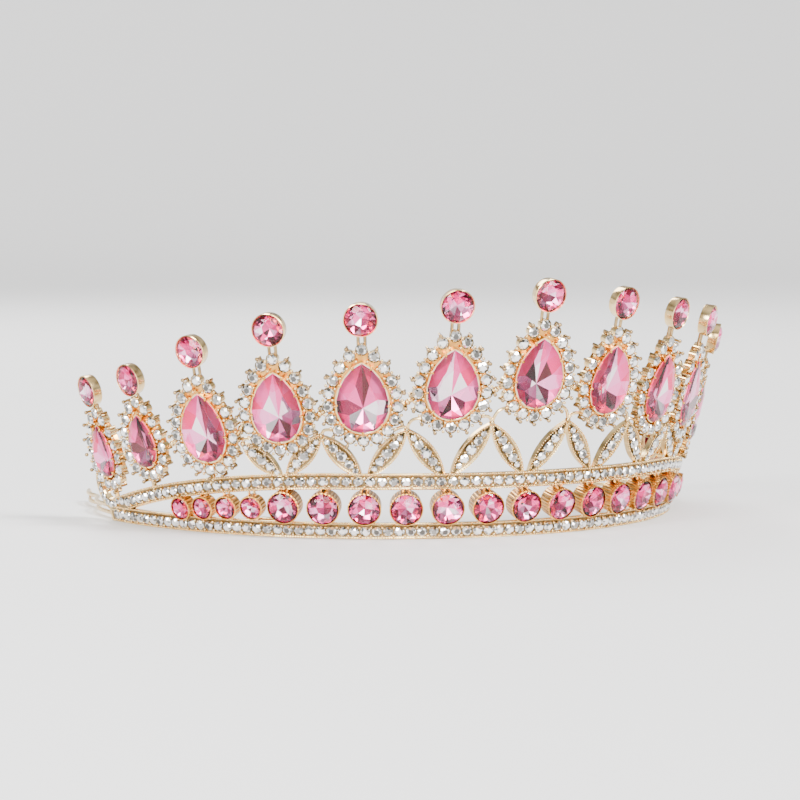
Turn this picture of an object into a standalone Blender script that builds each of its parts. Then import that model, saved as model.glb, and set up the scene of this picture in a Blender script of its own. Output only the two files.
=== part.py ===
"""Princess crown: an open-backed tiara of pale gold with pink pear stones and round stones.

It stands on its lower rail. Metres, +Z up, the front toward -Y, symmetric about X = 0.
"""

import math

import bmesh
import bpy
import numpy as np
from mathutils import Matrix, Vector

MM = 0.001
UP = Vector((0, 0, 1))

# The band follows half an ellipse, and the whole wall leans outward like a cone.
HALF_WIDTH = 80 * MM
HALF_DEPTH = 86 * MM
FLARE = math.radians(14)
BAND_REACH = 122 * MM

# Two rails: the upper one runs level over the front, then comes down to meet the lower one.
RAIL_HEIGHT = 4.2 * MM
LOWER_RAIL_THICKNESS = 1.9 * MM
UPPER_RAIL_THICKNESS = 1.6 * MM
RAIL_RISE = 12.7 * MM
RISE_KEPT_TO = 45 * MM
RISE_FALLS_OVER = 80 * MM
RAIL_STEPS = 32

# Thirteen clusters, from the middle one outward, with the height of each pear stone's centre.
CLUSTER_PLACES = [0, 19.7 * MM, 39.4 * MM, 59.1 * MM, 78.6 * MM, 99 * MM, 117.3 * MM]
PEAR_HEIGHTS = [43.4 * MM, 40.9 * MM, 37.5 * MM, 34.7 * MM, 28.6 * MM, 23.9 * MM, 19.8 * MM]
LAST_LARGE = 4
LARGE_PEAR = (13 * MM, 18 * MM)
SMALL_PEAR = (10 * MM, 14 * MM)
TIP_SHARPNESS = 0.45
LARGE_HALO_STONES = 18
SMALL_HALO_STONES = 15

# Each pear stone sits in an open collet, inside a flat halo with a point for every small stone.
COLLET_BACK = -0.8 * MM
COLLET_FRONT = 2.2 * MM
SEAT_GAP = 0.3 * MM
COLLET_WALL = 0.8 * MM
HALO_FRONT = 0.7 * MM
HALO_NOTCH = 3.1 * MM
HALO_POINT = 4.8 * MM
PEAR_BELOW_RIM = 0.7 * MM
PAVILION_DEPTH = 2.2 * MM
PEAR_GIRDLE_HEIGHT = 0.5 * MM
PEAR_CROWN_HEIGHT = 1.6 * MM
PEAR_TABLE_SHARE = 0.58
CULET_SHARE = 0.06

# The round stone on a short stem above each cluster.
TOP_STONE = 7.5 * MM
TOP_BEZEL = 8.7 * MM
TOP_BEZEL_BACK = -0.5 * MM
TOP_BEZEL_FRONT = 2.1 * MM
LARGE_TOP_DISTANCE = 20.3 * MM
SMALL_TOP_DISTANCE = 16.6 * MM
STEM_RADIUS = 0.8 * MM
STEM_INTO_HALO = 0.8 * MM
STEM_INTO_BEZEL = 0.15 * MM

# The round stones, as shares of their diameter, and how the cups hold them.
ROUND_TABLE_RADIUS = 0.3
ROUND_CROWN_HEIGHT = 0.19
ROUND_GIRDLE_HEIGHT = 0.05
ROUND_PAVILION_DEPTH = 0.21
ROUND_CULET_RADIUS = 0.04
ROUND_BELOW_RIM = 0.5 * MM
CUP_FLOOR = 0.4 * MM

# The row of round stones between the rails: 13 large ones and 4 small ones at each end.
RAIL_STONE = 7.4 * MM
RAIL_CUP = 8.5 * MM
RAIL_STONE_PITCH = 9.85 * MM
RAIL_STONE_HEIGHT = 8.6 * MM
RAIL_CUP_BACK = -1.2 * MM
RAIL_CUP_FRONT = 3.2 * MM
SMALL_RAIL_STONE = 5.0 * MM
SMALL_RAIL_CUP = 6.4 * MM
SMALL_STONE_PLACES = [67.9 * MM, 75 * MM, 82 * MM, 89 * MM]
SMALL_CUP_BACK = -0.9 * MM
SMALL_CUP_FRONT = 2.4 * MM
RAIL_POST_RADIUS = 0.5 * MM
RAIL_POST_INTO_RAIL = 1 * MM
ROUND_SIDES = 8
ROD_SIDES = 5

# Pairs of leaves rise in a V from the upper rail under the seven middle clusters.
LEAF_TIP_HEIGHTS = [30.4 * MM, 29 * MM, 27.2 * MM, 24.5 * MM]
LEAF_FOOT_HEIGHT = 16.6 * MM
LEAF_FOOT_SPREAD = 0.7 * MM
LEAF_WIDTH = 5 * MM
LEAF_HALF_THICKNESS = 0.6 * MM
LEAF_BAY_STEP = 9.85 * MM
LEAF_OVERLAP = 0.8 * MM
LEAF_POST_RADIUS = 0.7 * MM
LEAF_POST_INTO_HALO = 0.5 * MM

# Where two halos meet, and the post that carries an outer halo on the upper rail.
LINK_FROM_STONE = 2 * MM
HALO_FOOT_INTO_HALO = 0.7 * MM
HALO_FOOT_INTO_RAIL = 1.2 * MM

# The pave scroll that closes each end.
SCROLL_PLACE = 120.3 * MM
SCROLL_HEIGHT = 9.4 * MM
SCROLL_RADIUS = 4.8 * MM
SCROLL_WIDTH = 3.0 * MM
SCROLL_HALF_THICKNESS = 0.8 * MM
SCROLL_START = math.radians(58)
SCROLL_END = math.radians(-128)
SCROLL_STEPS = 10

# A narrow wire loop lies along the inside of each end, held in two curled tabs.
WIRE_RADIUS = 0.55 * MM
WIRE_INSET = 1.95 * MM
WIRE_LOW = 1.35 * MM
WIRE_HIGH = 3.35 * MM
WIRE_FROM = 60 * MM
WIRE_TO = 170 * MM
WIRE_STEPS = 15
WIRE_KINK_PLACE = 152 * MM
WIRE_KINK_LENGTH = 7 * MM
WIRE_KINK_DEPTH = 2.4 * MM
TAB_PLACES = [66 * MM, 117 * MM]
TAB_LENGTH = 3.2 * MM
TAB_WALL = 0.5 * MM
TAB_INNER = 3.2 * MM
TAB_TOP = 4.2 * MM


def plan_table():
    """Angles along the ellipse, and the arc length from the front to each."""
    angles = np.linspace(-math.pi, math.pi, 4001)
    across = HALF_WIDTH * np.sin(angles)
    back = -HALF_DEPTH * np.cos(angles)
    arcs = np.concatenate([[0], np.cumsum(np.hypot(np.diff(across), np.diff(back)))])
    return angles, arcs - arcs[len(arcs) // 2]


PLAN_ANGLES, PLAN_ARCS = plan_table()


def foot(place):
    """The band's point at this arc length from the front, and the outward normal there."""
    angle = float(np.interp(place, PLAN_ARCS, PLAN_ANGLES))
    across = math.sin(angle)
    back = -math.cos(angle)
    point = Vector((HALF_WIDTH * across, HALF_DEPTH * back, 0))
    return point, Vector((HALF_DEPTH * across, HALF_WIDTH * back, 0)).normalized()


def seat(place, height):
    """The frame of a piece on the wall: X along the band, Y up the wall, Z outward."""
    point, normal = foot(place)
    up = normal * math.sin(FLARE) + UP * math.cos(FLARE)
    outward = normal * math.cos(FLARE) - UP * math.sin(FLARE)
    frame = Matrix((up.cross(outward), up, outward)).transposed().to_4x4()
    frame.translation = point + up * height
    return frame


def rise(place):
    """How far the upper rail lies above the lower one."""
    past = max(0, abs(place) - RISE_KEPT_TO) / RISE_FALLS_OVER
    return RAIL_RISE * (1 - min(1, past) ** 2)


def metal(name, colour, roughness):
    material = bpy.data.materials.new(name)
    material.use_nodes = True
    shader = material.node_tree.nodes["Principled BSDF"]
    shader.inputs["Base Color"].default_value = (*colour, 1)
    shader.inputs["Metallic"].default_value = 1
    shader.inputs["Roughness"].default_value = roughness
    return material


def crystal(name, colour):
    material = bpy.data.materials.new(name)
    material.use_nodes = True
    shader = material.node_tree.nodes["Principled BSDF"]
    shader.inputs["Base Color"].default_value = (*colour, 1)
    shader.inputs["Roughness"].default_value = 0.03
    shader.inputs["Coat Weight"].default_value = 1
    return material


def body(name, mesh, material, collection, frame=Matrix.Identity(4)):
    """A closed body with its faces outward, as an object."""
    bmesh.ops.recalc_face_normals(mesh, faces=mesh.faces)
    data = bpy.data.meshes.new(name)
    mesh.to_mesh(data)
    mesh.free()
    data.materials.append(material)
    thing = bpy.data.objects.new(name, data)
    thing.matrix_world = frame
    collection.objects.link(thing)
    return thing


def skinned(rings, around=False):
    """A closed mesh over rings of points; around joins the last ring to the first."""
    mesh = bmesh.new()
    loops = [[mesh.verts.new(point) for point in ring] for ring in rings]
    pairs = list(zip(loops, loops[1:]))
    if around:
        pairs.append((loops[-1], loops[0]))
    else:
        mesh.faces.new(reversed(loops[0]))
        mesh.faces.new(loops[-1])
    for low, high in pairs:
        for k in range(len(low)):
            following = (k + 1) % len(low)
            mesh.faces.new((low[k], low[following], high[following], high[k]))
    return mesh


def turned(profile, sides):
    """A closed body turned about Z from a profile of (radius, height), a disc at each end."""
    rings = []
    for radius, height in profile:
        turns = [math.tau * k / sides for k in range(sides)]
        rings.append([(radius * math.cos(t), radius * math.sin(t), height) for t in turns])
    return skinned(rings)


def rod(start, end, radius):
    """A straight round rod between two points."""
    run = end - start
    turn = UP.rotation_difference(run).to_matrix()
    rings = []
    for centre in (start, end):
        angles = [math.tau * k / ROD_SIDES for k in range(ROD_SIDES)]
        spokes = [Vector((math.cos(a), math.sin(a), 0)) * radius for a in angles]
        rings.append([centre + turn @ spoke for spoke in spokes])
    return skinned(rings)


def pear_outline(size, offset, count, shift=0.0):
    """Points at equal steps round a pear with its point up, grown by an offset."""
    angles = np.linspace(0, math.tau, 721)
    swell = np.sin(angles) * np.abs(np.sin(angles / 2)) ** TIP_SHARPNESS
    across = size[0] / 2 * swell / swell.max()
    upward = size[1] / 2 * np.cos(angles)
    run_x, run_y = np.gradient(across), np.gradient(upward)
    length = np.hypot(run_x, run_y)
    length[length == 0] = 1
    grown_x = across - run_y / length * offset
    grown_y = upward + run_x / length * offset
    grown_y[0] = grown_y[-1] = size[1] / 2 + offset
    grown_x[0] = grown_x[-1] = 0
    arcs = np.concatenate([[0], np.cumsum(np.hypot(np.diff(grown_x), np.diff(grown_y)))])
    wanted = (np.arange(count) + shift) / count % 1 * arcs[-1]
    return list(zip(np.interp(wanted, arcs, grown_x), np.interp(wanted, arcs, grown_y)))


def at_height(outline, height):
    return [(x, y, height) for x, y in outline]


def setting_mesh(size, stones):
    """A collet open behind, and round it a flat halo with a point for each small stone."""
    wall = pear_outline(size, SEAT_GAP + COLLET_WALL, stones, 0.5)
    hole = pear_outline(size, SEAT_GAP, stones, 0.5)
    notches = pear_outline(size, HALO_NOTCH, stones, 0.5)
    points = pear_outline(size, HALO_POINT, stones)
    mesh = bmesh.new()

    def loop(outline, height):
        return [mesh.verts.new((x, y, height)) for x, y in outline]

    back = [loop(outline, COLLET_BACK) for outline in (hole, notches, points)]
    front = [loop(outline, HALO_FRONT) for outline in (wall, notches, points)]
    rims = [back[0], loop(hole, COLLET_FRONT), loop(wall, COLLET_FRONT), front[0]]
    for k in range(stones):
        before = (k - 1) % stones
        for inner, notch, point in (back, front):
            mesh.faces.new((inner[before], notch[before], point[k], notch[k], inner[k]))
        mesh.faces.new((back[1][before], back[2][k], front[2][k], front[1][before]))
        mesh.faces.new((back[2][k], back[1][k], front[1][k], front[2][k]))
        for low, high in zip(rims, rims[1:]):
            mesh.faces.new((low[before], low[k], high[k], high[before]))
    return mesh


def cup_mesh(diameter, stone, back, front):
    """A round cup, closed behind, whose pocket is a little wider than its stone."""
    pocket = stone / 2 + SEAT_GAP
    floor = back + CUP_FLOOR
    profile = [(diameter / 2, back), (diameter / 2, front), (pocket, front), (pocket, floor)]
    return turned(profile, ROUND_SIDES)


def round_stone_mesh(diameter, girdle):
    """A round cut stone: table, crown, narrow girdle and pavilion."""
    profile = [
        (ROUND_CULET_RADIUS * diameter, girdle - ROUND_PAVILION_DEPTH * diameter),
        (diameter / 2, girdle),
        (diameter / 2, girdle + ROUND_GIRDLE_HEIGHT * diameter),
        (ROUND_TABLE_RADIUS * diameter, girdle + ROUND_CROWN_HEIGHT * diameter),
    ]
    return turned(profile, ROUND_SIDES)


def pear_stone_mesh(size, sides):
    """A pear cut stone with a broad table and a pavilion that comes to a small culet."""
    girdle = COLLET_FRONT - PEAR_BELOW_RIM
    levels = [
        (CULET_SHARE, -PAVILION_DEPTH),
        (1, 0),
        (1, PEAR_GIRDLE_HEIGHT),
        (PEAR_TABLE_SHARE, PEAR_CROWN_HEIGHT),
    ]
    rings = []
    for share, height in levels:
        outline = pear_outline(size, 0, sides, 0.5)
        shrunk = [(x * share, y * share) for x, y in outline]
        rings.append(at_height(shrunk, girdle + height))
    return skinned(rings)


def rail_mesh(low, thickness):
    """A strip along the whole band with level edges; low gives its lower edge's height."""
    rings = []
    for place in np.linspace(-BAND_REACH, BAND_REACH, RAIL_STEPS + 1):
        point, normal = foot(place)
        bottom = low(place)
        ring = []
        corners = ((0, -1), (0, 1), (RAIL_HEIGHT, 1), (RAIL_HEIGHT, -1))
        for height, side in corners:
            lean = (bottom + height) * math.tan(FLARE)
            across = normal * (lean + side * thickness / 2)
            ring.append(point + across + UP * (bottom + height))
        rings.append(ring)
    return skinned(rings)


def leaf_mesh(length):
    """A flat marquise leaf along X, its two edges arcs of a circle."""
    outline = []
    for side in (1, -1):
        for share in (-1, -0.4, 0.4):
            y = -side * LEAF_WIDTH / 2 * (1 - share * share)
            outline.append((side * share * length / 2, y))
    rings = [at_height(outline, h) for h in (-LEAF_HALF_THICKNESS, LEAF_HALF_THICKNESS)]
    return skinned(rings)


def scroll_mesh(side):
    """A curved strip from the back of the last halo down and round to the band's end."""
    rings = []
    for turn in np.linspace(SCROLL_START, SCROLL_END, SCROLL_STEPS + 1):
        spoke = Vector((side * math.cos(turn), math.sin(turn), 0))
        ring = []
        for out, height in ((-1, -1), (1, -1), (1, 1), (-1, 1)):
            reach = SCROLL_RADIUS + out * SCROLL_WIDTH / 2
            ring.append(spoke * reach + UP * (height * SCROLL_HALF_THICKNESS))
        rings.append(ring)
    return skinned(rings)


def inset_point(place, inset, height):
    """A point on the inner side of the lower rail, which leans with the wall."""
    point, normal = foot(place)
    return point + normal * (height * math.tan(FLARE) - inset) + UP * height


def tab_mesh(place):
    """A narrow strap curled round both strands of the wire and back to the rail."""
    rings = []
    root = LOWER_RAIL_THICKNESS / 4
    section = [
        (root, 0),
        (TAB_INNER, 0),
        (TAB_INNER, TAB_TOP + TAB_WALL),
        (root, TAB_TOP + TAB_WALL),
        (root, TAB_TOP),
        (TAB_INNER - TAB_WALL, TAB_TOP),
        (TAB_INNER - TAB_WALL, TAB_WALL),
        (root, TAB_WALL),
    ]
    for end in (-0.5, 0.5):
        rings.append([inset_point(place + end * TAB_LENGTH, *corner) for corner in section])
    return skinned(rings)


def wire_points(side):
    """Along one strand, round the far turn, back along the other, round the near turn."""
    middle = (WIRE_LOW + WIRE_HIGH) / 2
    turn = (WIRE_HIGH - WIRE_LOW) / 2
    places = np.linspace(WIRE_FROM, WIRE_TO, WIRE_STEPS + 1)
    route = [(place, WIRE_LOW) for place in places]
    route += [(WIRE_TO + turn * math.cos(a), middle + turn * math.sin(a)) for a in (-0.6, 0.6)]
    route += [(place, WIRE_HIGH) for place in reversed(places)]
    route += [(WIRE_FROM - turn * math.cos(a), middle + turn * math.sin(a)) for a in (0.6, -0.6)]
    points = []
    for place, height in route:
        kink = math.exp(-(((place - WIRE_KINK_PLACE) / WIRE_KINK_LENGTH) ** 2))
        inset = WIRE_INSET + WIRE_KINK_DEPTH * kink
        points.append(inset_point(side * place, inset, height))
    return points


def wire(name, side, material, collection):
    curve = bpy.data.curves.new(name, "CURVE")
    curve.dimensions = "3D"
    curve.bevel_depth = WIRE_RADIUS
    curve.bevel_resolution = 1
    strand = curve.splines.new("POLY")
    points = wire_points(side)
    strand.points.add(len(points) - 1)
    for place, point in zip(strand.points, points):
        place.co = (*point, 1)
    strand.use_cyclic_u = True
    curve.materials.append(material)
    thing = bpy.data.objects.new(name, curve)
    collection.objects.link(thing)
    return thing


def clusters():
    """Each cluster's number from the middle, its frame, pear size and distance to its top stone."""
    found = []
    for number in range(-6, 7):
        step = abs(number)
        place = math.copysign(CLUSTER_PLACES[step], number)
        large = step <= LAST_LARGE
        size = LARGE_PEAR if large else SMALL_PEAR
        rise_to_top = LARGE_TOP_DISTANCE if large else SMALL_TOP_DISTANCE
        found.append((number, place, seat(place, PEAR_HEIGHTS[step]), size, rise_to_top))
    return found


def side_name(number):
    """left_3, middle or right_3, as the numbers run from -X to +X."""
    if number == 0:
        return "middle"
    return ("right_" if number > 0 else "left_") + str(abs(number))


def add_clusters(gold, pink, soldered, shown):
    """Collets, halos, stems and bezels for the frame, and the stones that they hold."""
    for number, place, frame, size, rise_to_top in clusters():
        name = side_name(number)
        stones = LARGE_HALO_STONES if size == LARGE_PEAR else SMALL_HALO_STONES
        body("setting_" + name, setting_mesh(size, stones), gold, soldered, frame)
        stem_foot = Vector((0, size[1] / 2 + HALO_NOTCH - STEM_INTO_HALO, 0))
        stem_top = Vector((0, rise_to_top - TOP_BEZEL / 2 + STEM_INTO_BEZEL, 0))
        stem = rod(stem_foot, stem_top, STEM_RADIUS)
        body("stem_" + name, stem, gold, soldered, frame)
        top = frame @ Matrix.Translation((0, rise_to_top, 0))
        cup = cup_mesh(TOP_BEZEL, TOP_STONE, TOP_BEZEL_BACK, TOP_BEZEL_FRONT)
        body("bezel_" + name, cup, gold, soldered, top)
        body("pear_stone_" + name, pear_stone_mesh(size, stones), pink, shown, frame)
        top_girdle = TOP_BEZEL_FRONT - ROUND_BELOW_RIM
        body("top_stone_" + name, round_stone_mesh(TOP_STONE, top_girdle), pink, shown, top)
        if abs(number) >= LAST_LARGE:
            add_halo_foot(name, place, frame, size, gold, soldered)


def add_halo_foot(name, place, frame, size, gold, soldered):
    """The short post from the bottom of an outer halo down into the upper rail."""
    start = frame @ Vector((0, -size[1] / 2 - HALO_NOTCH + HALO_FOOT_INTO_HALO, 0))
    foot_height = rise(place) + RAIL_HEIGHT - HALO_FOOT_INTO_RAIL
    end = seat(place, foot_height / math.cos(FLARE)).translation
    body("halo_foot_" + name, rod(start, end, STEM_RADIUS), gold, soldered)


def add_halo_links(gold, soldered):
    """Where two halos meet they are soldered side to side."""
    row = clusters()
    for (_, _, left, left_size, _), (number, _, right, right_size, _) in zip(row, row[1:]):
        start = left @ Vector((left_size[0] / 2 + LINK_FROM_STONE, -left_size[1] / 6, 0))
        end = right @ Vector((-right_size[0] / 2 - LINK_FROM_STONE, -right_size[1] / 6, 0))
        body("halo_link_" + side_name(number), rod(start, end, STEM_RADIUS), gold, soldered)


def add_leaves(gold, soldered):
    """Seven V pairs of leaves, and the posts that tie each pair of tips to the halos."""
    frames = {number: (frame, size) for number, _, frame, size, _ in clusters()}
    for number in range(-3, 4):
        for side in (-1, 1):
            boundary = number + side * 0.5
            tip_height = LEAF_TIP_HEIGHTS[int(abs(boundary))]
            middle = CLUSTER_PLACES[1] * number
            low = seat(middle + side * LEAF_FOOT_SPREAD, LEAF_FOOT_HEIGHT).translation
            tip_place = middle + side * LEAF_BAY_STEP
            high = seat(tip_place, tip_height).translation
            outward = seat((middle + tip_place) / 2, tip_height).col[2].to_3d()
            along = (high - low).normalized()
            across = outward.cross(along).normalized()
            frame = Matrix((along, across, along.cross(across))).transposed().to_4x4()
            frame.translation = (low + high) / 2
            name = side_name(number) + ("_b" if side > 0 else "_a")
            leaf = leaf_mesh((high - low).length + LEAF_OVERLAP)
            body("leaf_" + name, leaf, gold, soldered, frame)
            owner, size = frames[number]
            halo_edge = Vector((side * (size[0] / 2 + LEAF_POST_INTO_HALO), -size[1] / 2, 0))
            post = rod(high, owner @ halo_edge, LEAF_POST_RADIUS)
            body("leaf_post_" + name, post, gold, soldered)


def add_rail_stones(gold, pink, soldered, shown):
    """The cups between the rails, the post behind each, and the round stones in them."""
    middle_height = RAIL_STONE_HEIGHT / math.cos(FLARE)
    for number in range(-10, 11):
        step = abs(number)
        large = step <= 6
        reach = RAIL_STONE_PITCH * step if large else SMALL_STONE_PLACES[step - 7]
        place = math.copysign(reach, number)
        if large:
            stone, cup, back, front = RAIL_STONE, RAIL_CUP, RAIL_CUP_BACK, RAIL_CUP_FRONT
            height = middle_height
        else:
            stone, cup = SMALL_RAIL_STONE, SMALL_RAIL_CUP
            back, front = SMALL_CUP_BACK, SMALL_CUP_FRONT
            height = (RAIL_HEIGHT + rise(place)) / 2 / math.cos(FLARE)
        frame = seat(place, height)
        name = side_name(number)
        body("rail_cup_" + name, cup_mesh(cup, stone, back, front), gold, soldered, frame)
        half = (rise(place) - RAIL_HEIGHT) / 2 + RAIL_POST_INTO_RAIL
        ends = [Vector((0, end, -RAIL_POST_RADIUS)) for end in (-half, half)]
        post = rod(*ends, RAIL_POST_RADIUS)
        body("rail_post_" + name, post, gold, soldered, frame)
        mesh = round_stone_mesh(stone, front - ROUND_BELOW_RIM)
        body("rail_stone_" + name, mesh, pink, shown, frame)


def add_ends(gold, soldered):
    """The scroll and the two wire tabs at each end."""
    for side, name in ((-1, "left"), (1, "right")):
        frame = seat(side * SCROLL_PLACE, SCROLL_HEIGHT)
        body("scroll_" + name, scroll_mesh(side), gold, soldered, frame)
        for place in TAB_PLACES:
            tab = tab_mesh(side * place)
            body(f"tab_{name}_{round(place / MM)}", tab, gold, soldered)


def add_frame(gold, soldered, shown):
    """The lower rail, with all that is soldered to it."""
    frame = body("crown_frame", rail_mesh(lambda place: 0, LOWER_RAIL_THICKNESS), gold, shown)
    body("upper_rail", rail_mesh(rise, UPPER_RAIL_THICKNESS), gold, soldered)
    join = frame.modifiers.new("solder", "BOOLEAN")
    join.operation = "UNION"
    join.solver = "EXACT"
    join.operand_type = "COLLECTION"
    join.collection = soldered
    return frame


def hide(collection):
    """The pieces of the frame are shown only as the one soldered body."""
    for piece in collection.objects:
        piece.hide_render = True
        piece.display_type = "WIRE"
    collection.hide_render = True


def centre_on_origin(collections):
    """Puts the origin under the middle of the crown, on the surface that it stands on."""
    bpy.context.view_layer.update()
    corners = []
    for collection in collections:
        for thing in collection.objects:
            corners += [thing.matrix_world @ Vector(corner) for corner in thing.bound_box]
    middle = (min(c.y for c in corners) + max(c.y for c in corners)) / 2
    for collection in collections:
        for thing in collection.objects:
            thing.matrix_world = Matrix.Translation((0, -middle, 0)) @ thing.matrix_world
    print("centre moved by", round(middle / MM, 3), "mm")


def main():
    for thing in list(bpy.data.objects):
        bpy.data.objects.remove(thing)
    shown = bpy.data.collections.new("crown")
    soldered = bpy.data.collections.new("soldered_pieces")
    for collection in (shown, soldered):
        bpy.context.scene.collection.children.link(collection)
    gold = metal("pale_gold", (0.80, 0.58, 0.33), 0.2)
    pink = crystal("pink_crystal", (0.85, 0.16, 0.42))
    add_frame(gold, soldered, shown)
    add_clusters(gold, pink, soldered, shown)
    add_halo_links(gold, soldered)
    add_leaves(gold, soldered)
    add_rail_stones(gold, pink, soldered, shown)
    add_ends(gold, soldered)
    wire("side_wire_left", -1, gold, shown)
    wire("side_wire_right", 1, gold, shown)
    hide(soldered)
    centre_on_origin([shown, soldered])


main()
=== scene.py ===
"""The finished look of the princess crown: pale gold openwork, pink crystals, clear pave."""

import math
import random

import bmesh
import bpy
import numpy as np
from mathutils import Matrix, Vector


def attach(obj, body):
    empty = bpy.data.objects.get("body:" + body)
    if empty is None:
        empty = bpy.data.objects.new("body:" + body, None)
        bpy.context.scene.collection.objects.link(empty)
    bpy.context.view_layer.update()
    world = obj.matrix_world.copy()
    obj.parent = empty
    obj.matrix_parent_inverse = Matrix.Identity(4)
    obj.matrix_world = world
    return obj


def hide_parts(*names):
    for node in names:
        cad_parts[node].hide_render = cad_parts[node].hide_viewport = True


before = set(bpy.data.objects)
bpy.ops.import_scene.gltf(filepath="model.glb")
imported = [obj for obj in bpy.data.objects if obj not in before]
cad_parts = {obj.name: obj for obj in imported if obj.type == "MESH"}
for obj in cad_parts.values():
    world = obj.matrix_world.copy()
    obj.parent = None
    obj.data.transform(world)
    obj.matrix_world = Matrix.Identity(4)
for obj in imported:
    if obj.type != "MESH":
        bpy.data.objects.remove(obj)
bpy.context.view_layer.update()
random.seed(7)

# The two rails. Each is a channel of cast metal, plated a soft champagne gold, with a fine
# beaded edge above and below. Both are bent to half an ellipse that leans outward, and are
# soldered together at their ends; the lower one carries the crown.
MM = 0.001
UP = Vector((0, 0, 1))
BAND_HALF_WIDTH = 80 * MM
BAND_HALF_DEPTH = 86 * MM
BAND_CENTRE = Vector((0, 33.11 * MM, 0))
BAND_FLARE = math.radians(14)
LOWER_REACH = 122 * MM
UPPER_REACH = 118 * MM
RAIL_HEIGHT = 4.2 * MM
RAIL_THICKNESS = 1.8 * MM
RAIL_SOFTENED = 0.14 * MM
RAIL_BENDS = 139
RAIL_EDGE = 0.42 * MM
RAIL_CHANNEL = 0.3 * MM
RAIL_RISE = 12.7 * MM
RISE_KEPT_TO = 45 * MM
RISE_FALLS_OVER = 80 * MM
RAIL_STONE_PITCH = 2.82 * MM
RAIL_BEAD = 0.44 * MM
RAIL_BEAD_SIDE = 1.12 * MM
RAIL_BEAD_SUNK = 0.05 * MM
EDGE_BEAD = 0.25 * MM
EDGE_BEAD_PITCH = 0.66 * MM
EDGE_BEAD_DROP = 0.3 * MM
LOWER_ROW_STOP = 1 * MM
UPPER_ROW_STOP = 5 * MM

plan_angles = np.linspace(-math.pi, math.pi, 4001)
plan_steps = np.hypot(
    np.diff(BAND_HALF_WIDTH * np.sin(plan_angles)), np.diff(BAND_HALF_DEPTH * np.cos(plan_angles))
)
plan_arcs = np.concatenate([[0], np.cumsum(plan_steps)])
plan_arcs -= plan_arcs[len(plan_arcs) // 2]


def foot(place):
    """The band's point at this arc length from the front, and the outward normal there."""
    angle = float(np.interp(place, plan_arcs, plan_angles))
    across = math.sin(angle)
    back = -math.cos(angle)
    point = Vector((BAND_HALF_WIDTH * across, BAND_HALF_DEPTH * back, 0)) + BAND_CENTRE
    return point, Vector((BAND_HALF_DEPTH * across, BAND_HALF_WIDTH * back, 0)).normalized()


def wall_point(place, height, out):
    """A point on the leaning wall, given by its level height and its distance outward."""
    point, normal = foot(place)
    return point + normal * (height * math.tan(BAND_FLARE) + out) + UP * height


def seat(place, height, out=0.0):
    """The frame of a flat piece on the wall: X along the band, Y up the wall, Z outward."""
    point, normal = foot(place)
    up = normal * math.sin(BAND_FLARE) + UP * math.cos(BAND_FLARE)
    outward = normal * math.cos(BAND_FLARE) - UP * math.sin(BAND_FLARE)
    placed = Matrix((up.cross(outward), up, outward)).transposed().to_4x4()
    placed.translation = point + up * height + outward * out
    return placed


def at(x, y, z=0.0):
    return Matrix.Translation((x, y, z))


def turned(angle):
    """A turn about a flat piece's own outward axis."""
    return Matrix.Rotation(angle, 4, "Z")


def as_mesh(shape, name="shape"):
    """A bmesh kept as mesh data, to be stamped many times."""
    data = bpy.data.meshes.new(name)
    shape.to_mesh(data)
    shape.free()
    return data


def stamp(target, data, placed=Matrix()):
    """Adds a copy of a small shape to a growing one."""
    before = len(target.verts)
    target.from_mesh(data)
    target.verts.ensure_lookup_table()
    bmesh.ops.transform(target, matrix=placed, verts=target.verts[before:])


def soften(shape, edges, offset):
    """Rounds these edges a little, as tumbling does."""
    bmesh.ops.bevel(
        shape, geom=edges, offset=offset, segments=2, profile=0.5, affect="EDGES", material=-1
    )


def sink(faces, depth):
    """Lowers a floor inside its raised edge; the floor takes the second material, a darker gold
    that paints the shade in the recess.
    """
    for face in faces:
        face.material_index = 1
    for vert in {v for f in faces for v in f.verts}:
        vert.co.z -= depth


def add_object(name, data):
    thing = bpy.data.objects.new(name, data)
    bpy.context.scene.collection.objects.link(thing)
    return thing


def finish_piece(name, shape, materials, replaced=(), sharp=35):
    """A bmesh as a piece of the crown; sharp is None on cut stones, whose facets stay flat."""
    data = as_mesh(shape, name)
    for material in materials:
        data.materials.append(material)
    if sharp is not None:
        data.shade_smooth()
        data.set_sharp_from_angle(angle=math.radians(sharp))
    piece = add_object(name, data)
    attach(piece, "root")
    if replaced:
        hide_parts(*replaced)


def start_material(name, settings):
    """A new material, with these values set on its shader."""
    material = bpy.data.materials.new(name)
    material.use_nodes = True
    shader = material.node_tree.nodes["Principled BSDF"]
    for socket, value in settings.items():
        shader.inputs[socket].default_value = value
    return material, material.node_tree.nodes, material.node_tree.links, shader


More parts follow.
